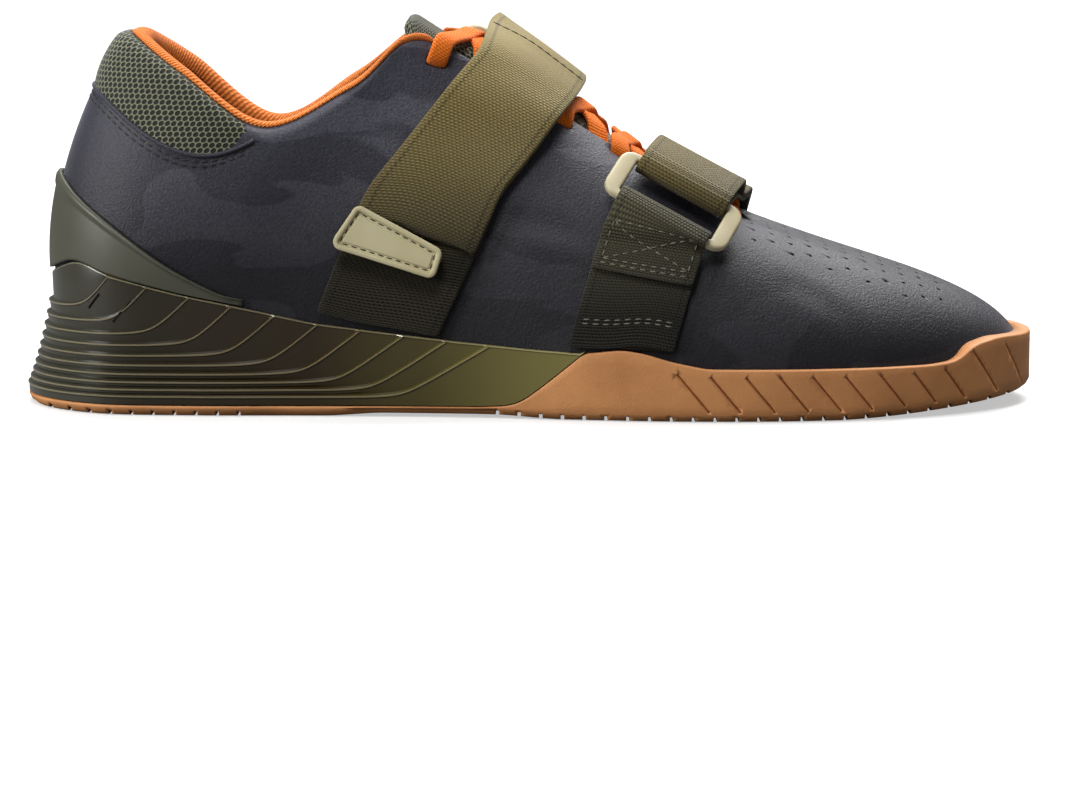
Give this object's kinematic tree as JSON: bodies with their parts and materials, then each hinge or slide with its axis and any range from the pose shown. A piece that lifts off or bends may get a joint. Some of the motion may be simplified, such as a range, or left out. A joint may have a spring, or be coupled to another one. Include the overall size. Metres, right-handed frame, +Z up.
{
  "type": "weightlifting shoe",
  "caption": "Low weightlifting shoe for the right foot: hollow laced upper with two webbing straps on a ribbed raised heel wedge and a flat gum outsole.",
  "frame": {"origin": "centre of the shoe's footprint box, on the floor", "axes": "+X to the toe, +Z up, the outer side of the foot at -Y"},
  "size_m": [0.302, 0.1043, 0.1157],
  "materials": {
    "outsole": "grainy matt gum",
    "heel_wedge": "semi-gloss, olive to dark bronze",
    "heel_counter": "satin",
    "upper": "coated cloth with a fine grain, tone on tone",
    "tongue": "open padded mesh",
    "insole": "napped",
    "piping": "knitted",
    "lace": "flat weave",
    "webbing": "ribbed webbing with a soft sheen",
    "ring": "smooth satin",
    "badge": "soft matt"
  },
  "bodies": {
    "root": {"outsole": "outsole", "heel_wedge": "heel_wedge", "upper": "upper", "tongue": "tongue", "insole": "insole", "heel_counter": "heel_counter", "collar_piping": "piping", "laces": "lace", "instep_strap": "webbing", "instep_ring": "ring", "instep_anchor": "webbing", "instep_badge": "badge", "forefoot_strap": "webbing", "forefoot_ring": "ring", "forefoot_anchor": "webbing", "forefoot_badge": "badge"}
  },
  "joints": []
}
